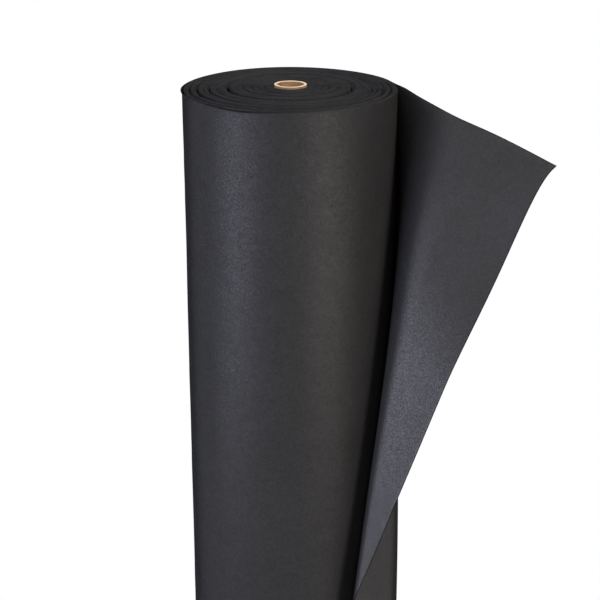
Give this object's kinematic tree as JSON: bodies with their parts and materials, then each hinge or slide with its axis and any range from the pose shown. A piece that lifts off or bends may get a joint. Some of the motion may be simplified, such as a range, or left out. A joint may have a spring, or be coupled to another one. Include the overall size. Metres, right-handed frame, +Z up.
{
  "type": "roll of weed control fabric",
  "caption": "Roll of black non-woven weed control fabric wound on a cardboard tube, standing on end, its free end drawn out at the top corner.",
  "frame": {"origin": "on the floor, under the middle of the box that the roll and its free end fill; the roll's own axis stands at x -0.0990, y 0.0130", "axes": "+Z up along the roll's axis; the free end is drawn out towards +X and -Y, which is the front"},
  "size_m": [0.496, 0.3252, 1.005],
  "materials": {
    "cardboard_tube": "matte",
    "adhesive_tape": "satin",
    "wound_fabric": "matte",
    "fabric_face": "matte"
  },
  "bodies": {
    "roll": {"core_tube": "cardboard_tube", "core_tape": "adhesive_tape", "inner_turns": "wound_fabric", "outer_turns": "wound_fabric", "loose_turn": "fabric_face"},
    "free_end": {"free_end": "fabric_face"}
  },
  "joints": [
    {"name": "free_end_swing", "type": "hinge", "parent": "roll", "child": "free_end", "pos_m": [0.02604, 0.09575, 0.5], "axis": [0, 0, 1], "range_deg": [0, 60]}
  ]
}
